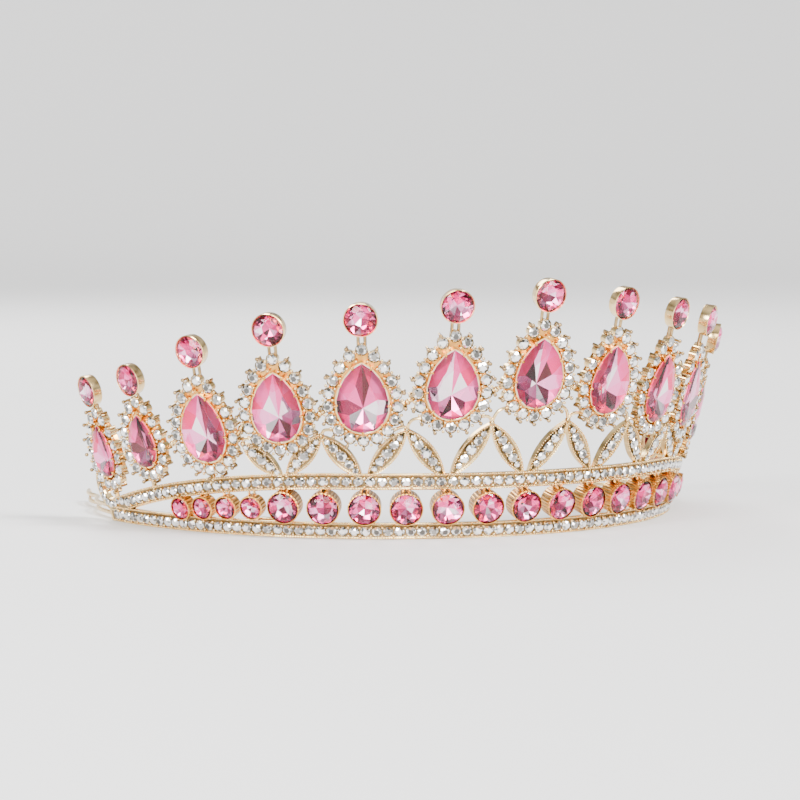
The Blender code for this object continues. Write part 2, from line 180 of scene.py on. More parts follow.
def make_cast_skin():
    """Soft casting ripple: a colour mask, a roughness and a height, from one noise."""
    group = bpy.data.node_groups.new("cast_skin", "ShaderNodeTree")
    for name, value in (("Scale", 500), ("Smooth", 0.14), ("Rough", 0.3)):
        socket = group.interface.new_socket(name, in_out="INPUT", socket_type="NodeSocketFloat")
        socket.default_value = value
    for name in ("Mask", "Roughness", "Height"):
        group.interface.new_socket(name, in_out="OUTPUT", socket_type="NodeSocketFloat")
    nodes, links = group.nodes, group.links
    given = nodes.new("NodeGroupInput")
    put = nodes.new("NodeGroupOutput")
    where = nodes.new("ShaderNodeTexCoord")
    ripple = nodes.new("ShaderNodeTexNoise")
    ripple.inputs["Detail"].default_value = 3
    ripple.inputs["Roughness"].default_value = 0.55
    spread = nodes.new("ShaderNodeMapRange")
    spread.inputs["From Min"].default_value = 0.3
    spread.inputs["From Max"].default_value = 0.7
    polish = nodes.new("ShaderNodeMapRange")
    links.new(where.outputs["Object"], ripple.inputs["Vector"])
    links.new(given.outputs["Scale"], ripple.inputs["Scale"])
    links.new(ripple.outputs["Fac"], spread.inputs["Value"])
    links.new(ripple.outputs["Fac"], polish.inputs["Value"])
    links.new(given.outputs["Smooth"], polish.inputs["To Min"])
    links.new(given.outputs["Rough"], polish.inputs["To Max"])
    links.new(spread.outputs["Result"], put.inputs["Mask"])
    links.new(polish.outputs["Result"], put.inputs["Roughness"])
    links.new(ripple.outputs["Fac"], put.inputs["Height"])
    return group


cast_skin = make_cast_skin()


def plated(name, bright, deep, smooth, rough, ripple):
    """A plated metal whose colour, polish and surface vary with the casting ripple."""
    material, nodes, links, shader = start_material(name, {"Metallic": 1})
    skin = nodes.new("ShaderNodeGroup")
    skin.node_tree = cast_skin
    skin.inputs["Smooth"].default_value = smooth
    skin.inputs["Rough"].default_value = rough
    tint = nodes.new("ShaderNodeMix")
    tint.data_type = "RGBA"
    tint.inputs["A"].default_value = (*deep, 1)
    tint.inputs["B"].default_value = (*bright, 1)
    relief = nodes.new("ShaderNodeBump")
    relief.inputs["Strength"].default_value = ripple
    relief.inputs["Distance"].default_value = 0.1 * MM
    links.new(skin.outputs["Mask"], tint.inputs["Factor"])
    links.new(tint.outputs["Result"], shader.inputs["Base Color"])
    links.new(skin.outputs["Roughness"], shader.inputs["Roughness"])
    links.new(skin.outputs["Height"], relief.inputs["Height"])
    links.new(relief.outputs["Normal"], shader.inputs["Normal"])
    return material


pale_gold = plated("pale_gold", (0.96, 0.74, 0.39), (0.78, 0.5, 0.19), 0.1, 0.26, 0.25)
# A dark gold for sunk floors, channels and grooves: painted shade in the recesses.
painted_shade_gold = plated("painted_shade_gold", (0.42, 0.28, 0.12), (0.2, 0.125, 0.05), 0.25, 0.45, 0.3)


def level(place):
    """The lower rail lies flat on the table."""
    return 0.0


def rise(place):
    """How far the upper rail lies above the lower one."""
    past = max(0, abs(place) - RISE_KEPT_TO) / RISE_FALLS_OVER
    return RAIL_RISE * (1 - min(1, past) ** 2)


def long_edges(shape, reach):
    return [e for e in shape.edges if abs(e.verts[0].co.x - e.verts[1].co.x) > reach]


def rail(low, reach):
    """A flat channel, cut along its length, then bent round the band."""
    shape = bmesh.new()
    size = Matrix.Diagonal((2 * reach, RAIL_HEIGHT, RAIL_THICKNESS, 1))
    bmesh.ops.create_cube(shape, size=1, matrix=at(0, RAIL_HEIGHT / 2) @ size)
    soften(shape, long_edges(shape, reach), RAIL_SOFTENED)
    bends = long_edges(shape, reach)
    bmesh.ops.subdivide_edges(shape, edges=bends, cuts=RAIL_BENDS, use_grid_fill=True)
    fronts = [f for f in shape.faces if f.normal.z > 0.99]
    bmesh.ops.inset_region(shape, faces=fronts, thickness=RAIL_EDGE, depth=0)
    sink(fronts, RAIL_CHANNEL)
    for vert in shape.verts:
        along, height, out = vert.co
        vert.co = wall_point(along, height + low(along), out)
    return shape


def bead(radius, fineness=2):
    shape = bmesh.new()
    bmesh.ops.create_icosphere(shape, subdivisions=fineness, radius=radius)
    return as_mesh(shape, "bead")


def stone_places(reach):
    """Where the stones' middles lie along a rail."""
    count = int(2 * reach / RAIL_STONE_PITCH)
    return [(k - (count - 1) / 2) * RAIL_STONE_PITCH for k in range(count)]


def on_rail(low, place, across, sunk):
    """The frame of a bead or a stone on a rail's front, across from its middle line."""
    slant = (low(place) + RAIL_HEIGHT / 2) / math.cos(BAND_FLARE)
    return seat(place, slant + across, RAIL_THICKNESS / 2 - sunk)


def edge_row(low, reach):
    """The frames of the fine beads along both edges of one rail."""
    beads = []
    for k in range(int(2 * reach / EDGE_BEAD_PITCH)):
        place = k * EDGE_BEAD_PITCH - reach
        for height in (EDGE_BEAD_DROP, RAIL_HEIGHT - EDGE_BEAD_DROP):
            spot = wall_point(place, low(place) + height, RAIL_THICKNESS / 2)
            beads.append(Matrix.Translation(spot))
    return beads


rail_rows = [(level, LOWER_REACH - LOWER_ROW_STOP), (rise, UPPER_REACH - UPPER_ROW_STOP)]
rails = rail(level, LOWER_REACH)
stamp(rails, as_mesh(rail(rise, UPPER_REACH)))
rail_bead = bead(RAIL_BEAD, 1)
rail_edges = bmesh.new()
edge_bead = bead(EDGE_BEAD, 1)
for low, reach in rail_rows:
    for place in stone_places(reach)[:-1]:
        joint = place + RAIL_STONE_PITCH / 2
        for side in (-1, 1):
            stamp(rails, rail_bead, on_rail(low, joint, side * RAIL_BEAD_SIDE, RAIL_BEAD_SUNK))
    for placed in edge_row(low, reach):
        stamp(rail_edges, edge_bead, placed)
finish_piece("rails", rails, [pale_gold, painted_shade_gold], ["crown_frame"], 50)
finish_piece("rail_beading", rail_edges, [pale_gold], sharp=60)

# The rails' clear stones. Small round glass stones with a silvered back, cut as a table, six
# star facets and twelve round the girdle; their facets' light and shade is painted into the
# colour, bright silver to grey.
# They lie side by side in the channel, and the rail's beads are pushed over their edges.
RAIL_STONE_RADIUS = 1.34 * MM
RAIL_STONE_SUNK = 0.1 * MM
TAPERED_STONES = [(114.3 * MM, 1.1 * MM), (116.6 * MM, 0.85 * MM)]
TAPERED_LIFT = 0.3 * MM
FACET_FLATNESS = math.radians(1.5)
# Share of the radius across and up, corners, and part of a step turned, for each ring.
CHATON_CUT = [(0.52, 0.42, 6, 0.0), (0.8, 0.26, 6, 0.5), (1.0, 0.0, 12, 0.0), (0.7, -0.35, 6, 0.0)]
# The painted light of each copy's table, from a dark spot to white, and the darkest painted facet.
CHATON_TABLES = (0.1, 0.85, 0.34, 1.0)
CHATON_DARKEST = 0.15


def cut_points(cut, radius, girdle=0.0):
    """The corners of a round stone, ring by ring."""
    points = []
    for across, up, count, shift in cut:
        for k in range(count):
            angle = math.tau * (k + shift) / count
            wide = radius * across
            height = girdle + radius * up
            points.append((wide * math.cos(angle), wide * math.sin(angle), height))
    return points


def cut_from(points):
    """The faceted stone that these corners bound, each flat facet one face."""
    shape = bmesh.new()
    corners = [shape.verts.new(point) for point in points]
    hull = bmesh.ops.convex_hull(shape, input=corners)
    spare = [g for g in hull["geom_interior"] if isinstance(g, bmesh.types.BMVert)]
    bmesh.ops.delete(shape, geom=spare, context="VERTS")
    bmesh.ops.dissolve_limit(
        shape, angle_limit=FACET_FLATNESS, verts=shape.verts, edges=shape.edges
    )
    bmesh.ops.recalc_face_normals(shape, faces=shape.faces)
    return shape


def facet_shades(shape, darkest=0.0):
    """Each facet's share of light, as a cut stone throws it back facet by facet."""
    layer = shape.faces.layers.float.new("facet")
    for face in shape.faces:
        face[layer] = random.uniform(darkest, 1)


def front_face(shape):
    return max(shape.faces, key=lambda face: face.calc_center_median().z)


def chaton(radius):
    """Four differently lit copies of one small round stone, its girdle at height 0."""
    found = []
    for table_shade in CHATON_TABLES:
        shape = cut_from(cut_points(CHATON_CUT, radius))
        facet_shades(shape, CHATON_DARKEST)
        front_face(shape)[shape.faces.layers.float["facet"]] = table_shade
        found.append(as_mesh(shape, "chaton"))
    return found


def set_stones(target, kinds, places):
    """Stamps a stone at each frame, turned by chance about its own axis."""
    for placed in places:
        by_chance = placed @ turned(random.uniform(0, math.tau))
        stamp(target, random.choice(kinds), by_chance)


def set_stops(ramp, stops):
    """Gives a colour ramp these positions and colours."""
    elements = ramp.color_ramp.elements
    while len(elements) < len(stops):
        elements.new(0.5)
    for element, (position, colour) in zip(elements, stops):
        element.position = position
        element.color = (*colour, 1)


def faceted(name, stops, settings):
    """Glass or foil whose colour follows each facet's share of light."""
    material, nodes, links, shader = start_material(name, settings)
    facet = nodes.new("ShaderNodeAttribute")
    facet.attribute_name = "facet"
    ramp = nodes.new("ShaderNodeValToRGB")
    set_stops(ramp, stops)
    links.new(facet.outputs["Fac"], ramp.inputs["Fac"])
    links.new(ramp.outputs["Color"], shader.inputs["Base Color"])
    return material


# The silvered stones' colour by each facet's share of light, black to white: painted reflections.
silver_painted_facet_light = [
    (0.0, (0.03, 0.028, 0.025)),
    (0.3, (0.2, 0.19, 0.17)),
    (0.5, (0.7, 0.69, 0.66)),
    (0.68, (1, 1, 1)),
]
silvering = {"Metallic": 0.85, "Roughness": 0.06, "Coat Weight": 1, "Coat Roughness": 0.02}
clear_crystal = faceted("clear_crystal", silver_painted_facet_light, silvering)

rail_chatons = chaton(RAIL_STONE_RADIUS)
rail_stones = bmesh.new()
for low, reach in rail_rows:
    stations = [on_rail(low, place, 0, RAIL_STONE_SUNK) for place in stone_places(reach)]
    set_stones(rail_stones, rail_chatons, stations)
for place, radius in TAPERED_STONES:
    for side in (-1, 1):
        middle = (RAIL_HEIGHT + rise(place) / 2 + TAPERED_LIFT) / math.cos(BAND_FLARE)
        placed = seat(side * place, middle, RAIL_THICKNESS / 2 - RAIL_STONE_SUNK)
        set_stones(rail_stones, chaton(radius), [placed])
finish_piece("rail_pave", rail_stones, [clear_crystal], sharp=None)

# The stone row. Round stones of rose glass, their backs wrapped in mirror foil, sit in deep
# fluted cups of warmer gold that stand out from the band. Each cup is soldered between the
# rails by a pair of short pins above and below.
ROW_PITCH = 9.85 * MM
ROW_HEIGHT = 8.6 * MM
ROW_LARGE = 6
SMALL_PLACES = [67.9 * MM, 75 * MM, 82 * MM, 89 * MM]
ROW_STONE = 7.8 * MM
ROW_CUP = 8.5 * MM
ROW_CUP_BACK = -1.2 * MM
ROW_CUP_FRONT = 3.2 * MM
ROW_FLUTES = 28
SMALL_STONE = 5.5 * MM
SMALL_CUP = 6.4 * MM
SMALL_CUP_BACK = -0.9 * MM
SMALL_CUP_FRONT = 2.4 * MM
SMALL_FLUTES = 20
CUP_FOOT_SHARE = 0.47
CUP_SOFTENED = 0.3 * MM
CUP_FLOOR = 0.7 * MM
CUP_MOUTH = 0.05 * MM
CUP_RIM_DEPTH = 0.45 * MM
STONE_GAP = 0.1 * MM
TOOTH_DEPTH = 0.22 * MM
FLUTE_FOOT = 0.2 * MM
FLUTE_SHARE = 0.94
GIRDLE_BELOW_RIM = 0.5 * MM
PIN_RADIUS = 0.38 * MM
PIN_SPREAD = 0.75 * MM
PIN_OUT = 0.6 * MM
PIN_OVERLAP = 0.5 * MM
PIN_FROM_SHARE = 0.4
SHORTEST_PIN = 1 * MM
BRILLIANT_CUT = [
    (0.56, 0.36, 8, 0.0),
    (0.82, 0.24, 8, 0.5),
    (1.0, 0.08, 16, 0.0),
    (1.0, 0.0, 16, 0.0),
    (0.5, -0.26, 8, 0.5),
    (0.06, -0.4, 4, 0.0),
]

cup_gold = plated("cup_gold", (0.9, 0.47, 0.12), (0.6, 0.24, 0.04), 0.14, 0.32, 0.3)

# The rose glass's tint by each facet's share of light, deep pink to nearly white: painted light.
rose_painted_facet_light = [
    (0.0, (0.95, 0.22, 0.5)),
    (0.5, (1.0, 0.5, 0.74)),
    (0.9, (1.0, 0.84, 0.92)),
    (1.0, (1.0, 0.9, 0.95)),
]
clear_glass = {
    "Transmission Weight": 1,
    "Roughness": 0.0,
    "IOR": 1.25,
    "Coat Weight": 0.4,
    "Coat Roughness": 0.01,
}
# The mirror foil's colour by each facet's share of light, near black through pink to white:
# painted reflections.
mirror_painted_facet_light = [
    (0.0, (0.11, 0.015, 0.02)),
    (0.2, (0.42, 0.02, 0.11)),
    (0.4, (0.98, 0.08, 0.34)),
    (0.68, (1.0, 0.3, 0.6)),
    (0.86, (1.0, 0.66, 0.84)),
    (1.0, (1.0, 1.0, 1.0)),
]
rose_glass = faceted("rose_glass", rose_painted_facet_light, clear_glass)
rose_foil = faceted("rose_foil", mirror_painted_facet_light, {"Metallic": 1, "Roughness": 0.05})


def soften_back(shape, offset):
    """Rounds the edge between a cup's side and its closed back."""
    floor = min(shape.faces, key=lambda face: face.calc_center_median().z)
    soften(shape, floor.edges[:], offset)


def round_cup(diameter, back, front, segments):
    """A closed cup that widens a little toward its front."""
    shape = bmesh.new()
    bmesh.ops.create_cone(
        shape,
        cap_ends=True,
        segments=segments,
        radius1=CUP_FOOT_SHARE * diameter,
        radius2=0.5 * diameter,
        depth=front - back,
        matrix=at(0, 0, (front + back) / 2),
    )
    return shape


def fluted_cup(diameter, stone, back, front, flutes):
    """A cup with a coin edge; the groove floors are painted darker as shade, the rim is cut into
    teeth.
    """
    shape = round_cup(diameter, back, front, 4 * flutes)
    soften_back(shape, CUP_SOFTENED)
    pocket = stone / 2 + STONE_GAP
    below = front - CUP_RIM_DEPTH
    cut = shape.verts[:] + shape.edges[:] + shape.faces[:]
    bmesh.ops.bisect_plane(shape, geom=cut, plane_co=(0, 0, below), plane_no=(0, 0, 1))
    rim = front_face(shape)
    bmesh.ops.inset_region(shape, faces=[rim], thickness=diameter / 2 - pocket)
    bmesh.ops.inset_region(shape, faces=[rim], thickness=CUP_MOUTH)
    for vert in rim.verts:
        vert.co.z = back + CUP_FLOOR
    for vert in shape.verts:
        turn = round(math.atan2(vert.co.y, vert.co.x) / math.tau * 4 * flutes) % 4
        if turn < 2 and vert.co.xy.length > pocket + STONE_GAP:
            if vert.co.z > below + STONE_GAP:
                vert.co.z -= TOOTH_DEPTH
            elif vert.co.z > back + FLUTE_FOOT:
                vert.co.xy *= FLUTE_SHARE
    # The groove floors take the second, darker material: painted shade.
    for face in shape.faces:
        middle = face.calc_center_median()
        turn = math.atan2(middle.y, middle.x) / math.tau * 4 * flutes % 4
        side = abs(face.normal.z) < 0.5 and middle.xy.length > pocket - 2 * STONE_GAP
        if side and middle.z < below and 0.2 < turn < 0.8:
            face.material_index = 1
    return as_mesh(shape, "fluted_cup")


def pin(radius, length):
    """A short round pin up Y from the origin."""
    shape = bmesh.new()
    upright = Matrix.Rotation(math.radians(-90), 4, "X") @ at(0, 0, length / 2)
    bmesh.ops.create_cone(
        shape,
        cap_ends=True,
        segments=10,
        radius1=radius,
        radius2=radius,
        depth=length,
        matrix=upright,
    )
    return as_mesh(shape, "pin")


def foil_behind(shape, foil=1):
    """The foil wraps the back of the stone and its girdle; the table and crown stay glass, the
    table painted with the full share of light.
    """
    layer = shape.faces.layers.float["facet"]
    for face in shape.faces:
        if face.normal.z < 0.3:
            face.material_index = foil
        elif face.normal.z > 0.99:
            face[layer] = 1


def round_stone(name, solid, diameter, front, placed):
    """A brilliant with an octagonal table, star and kite facets, set in its cup."""
    shape = cut_from(cut_points(BRILLIANT_CUT, diameter / 2, front - GIRDLE_BELOW_RIM))
    facet_shades(shape)
    foil_behind(shape)
    by_chance = placed @ turned(random.uniform(0, math.tau))
    bmesh.ops.transform(shape, matrix=by_chance, verts=shape.verts)
    finish_piece(name, shape, [rose_glass, rose_foil], [solid], None)


def side_name(number):
    """left_3, middle or right_3, as the numbers run from -X to +X."""
    if number == 0:
        return "middle"
    return ("right_" if number > 0 else "left_") + str(abs(number))


cups = bmesh.new()
pins = bmesh.new()
row_cup = fluted_cup(ROW_CUP, ROW_STONE, ROW_CUP_BACK, ROW_CUP_FRONT, ROW_FLUTES)
small_cup = fluted_cup(SMALL_CUP, SMALL_STONE, SMALL_CUP_BACK, SMALL_CUP_FRONT, SMALL_FLUTES)
for number in range(-10, 11):
    step = abs(number)
    if step <= ROW_LARGE:
        cup, diameter, front = row_cup, ROW_STONE, ROW_CUP_FRONT
        place = math.copysign(ROW_PITCH * step, number)
        middle = ROW_HEIGHT
    else:
        cup, diameter, front = small_cup, SMALL_STONE, SMALL_CUP_FRONT
        place = math.copysign(SMALL_PLACES[step - ROW_LARGE - 1], number)
        middle = (RAIL_HEIGHT + rise(place)) / 2
    placed = seat(place, middle / math.cos(BAND_FLARE))
    stamp(cups, cup, placed)
    name = side_name(number)
    round_stone("row_stone_" + name, "rail_stone_" + name, diameter, front, placed)
    half_gap = (rise(place) - RAIL_HEIGHT) / 2 + PIN_OVERLAP
    reach = max(half_gap - PIN_FROM_SHARE * diameter, SHORTEST_PIN)
    for side in (-1, 1):
        for spread in (-PIN_SPREAD, PIN_SPREAD):
            base = at(spread, side * (half_gap - reach / 2) - reach / 2, PIN_OUT)
            stamp(pins, pin(PIN_RADIUS, reach), placed @ base)
finish_piece("row_cups", cups, [cup_gold, painted_shade_gold], sharp=30)
finish_piece("row_pins", pins, [pale_gold])

# The thirteen clusters. A pear stone of rose glass, mirror foil behind its middle and satin
# foil behind its rim, is held by thin claws in an open gold collet. Round it is soldered a
# ring of small collets with clear stones, each with a prong that turns up and ends in a ball.
CLUSTER_PLACES = [0, 19.7 * MM, 39.4 * MM, 59.1 * MM, 78.6 * MM, 99 * MM, 117.3 * MM]
PEAR_HEIGHTS = [43.4 * MM, 40.9 * MM, 37.5 * MM, 34.7 * MM, 28.6 * MM, 23.9 * MM, 19.8 * MM]
LAST_LARGE = 4
LARGE_PEAR = (13 * MM, 18 * MM)
SMALL_PEAR = (10 * MM, 14 * MM)
TIP_SHARPNESS = 0.45
PEAR_GIRDLE = 1.4 * MM
PEAR_POINT = 2.2 * MM
# Share of the outline, height over the girdle, corners, and part of a step turned.
PEAR_CUT = [
    (0.62, 1.25 * MM, 8, 0.0),
    (0.84, 0.8 * MM, 8, 0.5),
    (1.0, 0.3 * MM, 16, 0.0),
    (1.0, 0.0, 16, 0.0),
    (0.6, -1.0 * MM, 7, 0.5),
]
# The kites' shares of light, from dark to white: painted reflections.
KITE_SHADES = [0.0, 1.0, 0.45, 0.1, 1.0, 0.6, 0.7]
SEAT_GAP = 0.02 * MM
COLLET_BACK = -0.8 * MM
COLLET_FRONT = 1.5 * MM
COLLET_WALL = 0.3 * MM
GALLERY_GAP = 0.2 * MM
GALLERY_EDGE = 2.6 * MM
GALLERY_FRONT = 0.25 * MM
HALO_COUNTS = {LARGE_PEAR: 18, SMALL_PEAR: 15}
HALO_PATH = 2.18 * MM
HALO_TIP_LIFT = 1.3 * MM
HALO_SIDE_LIFTS = {0: 1.0, 1: 0.75, 2: 0.3}
HALO_COLLET = 1.6 * MM
HALO_FOOT_SHARE = 0.82
HALO_TOP = 1.25 * MM
HALO_RIM = 0.14 * MM
HALO_POCKET = 0.5 * MM
HALO_STONE = 1.46 * MM
HALO_STONE_SUNK = 0.15 * MM
HALO_BEAD = 0.4 * MM
HALO_BEAD_SIDE = 1.2 * MM
HALO_BEAD_SUNK = 0.1 * MM
PRONG_REACH = 2.05 * MM
PRONG_ARM = (0.62 * MM, 0.6 * MM)
PRONG_FOOT = -0.5 * MM
PRONG_TOP = 1.6 * MM
PRONG_THICK = 0.36 * MM
PRONG_THIN = 0.3 * MM
PRONG_BALL = 0.52 * MM
CLAW_COUNT = 9
CLAW_LEG = (0.6 * MM, 0.34 * MM)
CLAW_OUT = 0.2 * MM
CLAW_TIP = (0.36 * MM, 0.62 * MM, 0.3 * MM)
CLAW_TIP_IN = 0.1 * MM
CLAW_TIP_UP = 0.28 * MM

prong_gold = plated("prong_gold", (0.52, 0.36, 0.17), (0.27, 0.17, 0.075), 0.12, 0.26, 0.2)
# The satin foil's colour by each facet's share of light, kept to bright pinks: painted light.
satin_painted_facet_light = [(0.0, (0.9, 0.005, 0.15)), (0.5, (1.0, 0.04, 0.3)), (1.0, (1.0, 0.2, 0.52))]
rose_satin = faceted("rose_satin", satin_painted_facet_light, {"Metallic": 1, "Roughness": 0.3})


def pear_outline(size, offset, count, shift=0.0):
    """Points at equal steps round a pear, grown by an offset."""
    angles = np.linspace(0, math.tau, 721)
    swell = np.sin(angles) * np.abs(np.sin(angles / 2)) ** TIP_SHARPNESS
    across = size[0] / 2 * swell / swell.max()
    upward = size[1] / 2 * np.cos(angles)
    run_x, run_y = np.gradient(across), np.gradient(upward)
    length = np.hypot(run_x, run_y)
    length[length == 0] = 1
    grown_x = across - run_y / length * offset
    grown_y = upward + run_x / length * offset
    grown_y[0] = grown_y[-1] = size[1] / 2 + offset
    grown_x[0] = grown_x[-1] = 0
    arcs = np.concatenate([[0], np.cumsum(np.hypot(np.diff(grown_x), np.diff(grown_y)))])
    wanted = (np.arange(count) + shift) / count % 1 * arcs[-1]
    return list(zip(np.interp(wanted, arcs, grown_x), np.interp(wanted, arcs, grown_y)))


def facing_out(size, offset, count, shift=0.0):
    """The same points, each with the turn that points a piece's Y away from the pear."""
    near = pear_outline(size, offset, count, shift)
    far = pear_outline(size, offset + 1 * MM, count, shift)
    return [
        (x, y, math.atan2(far_y - y, far_x - x) - math.pi / 2)
        for (x, y), (far_x, far_y) in zip(near, far)
    ]


def widest(size):
    """A pear is widest a sixth of its length below its middle."""
    return -size[1] / 6


def pear_wall(size, inner, outer, back, front, count=44):
    """A pear-shaped wall: one outline, drawn forward, inward and back again as rings."""
    shape = bmesh.new()
    bmesh.ops.create_circle(shape, segments=count, radius=size[0])
    rim = set(shape.verts)
    profile = [(outer, back), (outer, front), (inner, front), (inner, back), (outer, back)]
    for turn, (offset, height) in enumerate(profile):
        if turn:
            edges = [e for e in shape.edges if set(e.verts) <= rim]
            drawn = bmesh.ops.extrude_edge_only(shape, edges=edges)
            rim = {g for g in drawn["geom"] if isinstance(g, bmesh.types.BMVert)}
        in_turn = sorted(rim, key=lambda v: (math.atan2(v.co.x, v.co.y) + 1e-4) % math.tau)
        for vert, (x, y) in zip(in_turn, pear_outline(size, offset, count)):
            vert.co = (x, y, height)
    bmesh.ops.remove_doubles(shape, verts=shape.verts, dist=0.001 * MM)
    bmesh.ops.recalc_face_normals(shape, faces=shape.faces)
    return as_mesh(shape, "pear_wall")


def pear_brilliant(size):
    """A pear stone: broad table, long mirror kites that meet low down, and a satin rim."""
    heart = Vector((0, widest(size)))
    points = [(heart.x, heart.y, PEAR_GIRDLE - PEAR_POINT)]
    for share, height, count, shift in PEAR_CUT:
        for x, y in pear_outline(size, 0, count, shift):
            spot = heart + (Vector((x, y)) - heart) * share
            points.append((spot.x, spot.y, PEAR_GIRDLE + height))
    shape = cut_from(points)
    facet_shades(shape)
    foil_behind(shape, foil=2)
    layer = shape.faces.layers.float["facet"]
    near_point = PEAR_GIRDLE - PEAR_POINT + 0.1 * MM
    kites = [f for f in shape.faces if any(v.co.z < near_point for v in f.verts)]
    # The kites take the listed shares of light: painted reflections.
    shades = KITE_SHADES[:]
    random.shuffle(shades)
    for face, shade in zip(kites, shades * 2):
        face[layer] = shade
        face.material_index = 1
    return shape


def halo_collet():
    """A small open cup for one clear stone."""
    shape = bmesh.new()
    bmesh.ops.create_cone(
        shape,
        cap_ends=True,
        segments=12,
        radius1=HALO_COLLET * HALO_FOOT_SHARE,
        radius2=HALO_COLLET,
        depth=HALO_TOP - COLLET_BACK,
        matrix=at(0, 0, (HALO_TOP + COLLET_BACK) / 2),
    )
    rim = front_face(shape)
    bmesh.ops.inset_region(shape, faces=[rim], thickness=HALO_RIM)
    sink([rim], HALO_POCKET)
    return as_mesh(shape, "halo_collet")


def halo_prong():
    """A square-shouldered prong beyond the collet, turned up and ended in a ball."""
    shape = bmesh.new()
    wide, deep = PRONG_ARM
    arm = at(0, PRONG_REACH / 2, -deep / 2) @ Matrix.Diagonal((wide, PRONG_REACH, deep, 1))
    bmesh.ops.create_cube(shape, size=1, matrix=arm)
    bmesh.ops.create_cone(
        shape,
        cap_ends=True,
        segments=8,
        radius1=PRONG_THICK,
        radius2=PRONG_THIN,
        depth=PRONG_TOP - PRONG_FOOT,
        matrix=at(0, PRONG_REACH, (PRONG_TOP + PRONG_FOOT) / 2),
    )
    ball = at(0, PRONG_REACH, PRONG_TOP)
    bmesh.ops.create_icosphere(shape, subdivisions=2, radius=PRONG_BALL, matrix=ball)
    return as_mesh(shape, "halo_prong")


def pear_claw():
    """A thin claw up the collet's outside, bent over the edge of the stone along -Y."""
    shape = bmesh.new()
    leg = Matrix.Diagonal((*CLAW_LEG, COLLET_FRONT - COLLET_BACK, 1))
    leg = at(0, CLAW_OUT, (COLLET_FRONT + COLLET_BACK) / 2) @ leg
    bmesh.ops.create_cube(shape, size=1, matrix=leg)
    tip = at(0, -CLAW_TIP_IN, COLLET_FRONT + CLAW_TIP_UP) @ Matrix.Diagonal((*CLAW_TIP, 1))
    bmesh.ops.create_icosphere(shape, subdivisions=2, radius=1, matrix=tip)
    return as_mesh(shape, "pear_claw")


collets = bmesh.new()
galleries = bmesh.new()
halo_collets = bmesh.new()
halo_prongs = bmesh.new()
halo_beads = bmesh.new()
claws = bmesh.new()
halo_stones = bmesh.new()
small_collet = halo_collet()
small_prong = halo_prong()
claw = pear_claw()
halo_bead = bead(HALO_BEAD)
halo_chatons = chaton(HALO_STONE)
clusters = []
for number in range(-6, 7):
    step = abs(number)
    size = LARGE_PEAR if step <= LAST_LARGE else SMALL_PEAR
    placed = seat(math.copysign(CLUSTER_PLACES[step], number), PEAR_HEIGHTS[step])
    clusters.append((number, placed, size))
    wall = pear_wall(size, SEAT_GAP, SEAT_GAP + COLLET_WALL, COLLET_BACK, COLLET_FRONT)
    stamp(collets, wall, placed)
    plate = pear_wall(size, SEAT_GAP + GALLERY_GAP, GALLERY_EDGE, COLLET_BACK, GALLERY_FRONT)
    stamp(galleries, plate, placed)
    stone = pear_brilliant(size)
    bmesh.ops.transform(stone, matrix=placed, verts=stone.verts)
    pinks = [rose_glass, rose_foil, rose_satin]
    name = side_name(number)
    finish_piece("pear_" + name, stone, pinks, ["pear_stone_" + name], None)
    count = HALO_COUNTS[size]
    for turn, (x, y, facing) in enumerate(facing_out(size, HALO_PATH, count)):
        lift = HALO_TIP_LIFT * HALO_SIDE_LIFTS.get(min(turn, count - turn), 0)
        spot = placed @ at(x, y + lift)
        stamp(halo_collets, small_collet, spot)
        if turn:
            stamp(halo_prongs, small_prong, spot @ turned(facing))
        set_stones(halo_stones, halo_chatons, [spot @ at(0, 0, HALO_TOP - HALO_STONE_SUNK)])
    for offset in (HALO_PATH - HALO_BEAD_SIDE, HALO_PATH + HALO_BEAD_SIDE):
        for x, y in pear_outline(size, offset, count, 0.5):
            stamp(halo_beads, halo_bead, placed @ at(x, y, HALO_TOP - HALO_BEAD_SUNK))
    for x, y, facing in facing_out(size, COLLET_WALL, CLAW_COUNT, 0.5):
        stamp(claws, claw, placed @ at(x, y) @ turned(facing))
finish_piece("pear_collets", collets, [pale_gold], sharp=45)
finish_piece("pear_galleries", galleries, [cup_gold], sharp=45)
finish_piece("halo_collets", halo_collets, [pale_gold, painted_shade_gold])
finish_piece("halo_prongs", halo_prongs, [prong_gold])
finish_piece("halo_beads", halo_beads, [pale_gold])
finish_piece("pear_claws", claws, [cup_gold])
finish_piece("halo_pave", halo_stones, [clear_crystal], sharp=None)

# The top stones. Each round rose stone sits in a plain shallow bezel of pale gold, closed
# behind, whose thin rim is rubbed over the stone. Two short prongs carry it above its cluster
# and are soldered to both.
TOP_STONE = 7.9 * MM
TOP_BEZEL = 8.7 * MM
TOP_BACK = -0.5 * MM
TOP_FRONT = 2.1 * MM
BEZEL_SOFTENED = 0.35 * MM
BEZEL_FLOOR = 0.4 * MM
# Each step inward over the rim, with how far it rises.
BEZEL_RIM = [(0.2 * MM, 0.12 * MM), (0.2 * MM, -0.3 * MM), (0.02 * MM, 0)]
TOP_DISTANCES = {LARGE_PEAR: 20.3 * MM, SMALL_PEAR: 16.6 * MM}
STEM_RADIUS = 0.42 * MM
STEM_SPREAD = 0.85 * MM
STEM_OUT = 0.2 * MM
STEM_START = 0.9 * MM
STEM_OVERLAP = 0.5 * MM


def bezel():
    """A plain cup whose rim is rubbed over the stone."""
    shape = round_cup(TOP_BEZEL, TOP_BACK, TOP_FRONT, 40)
    soften_back(shape, BEZEL_SOFTENED)
    rim = front_face(shape)
    for thickness, depth in BEZEL_RIM:
        bmesh.ops.inset_region(shape, faces=[rim], thickness=thickness, depth=depth)
    for vert in rim.verts:
        vert.co.z = TOP_BACK + BEZEL_FLOOR
    return as_mesh(shape, "bezel")


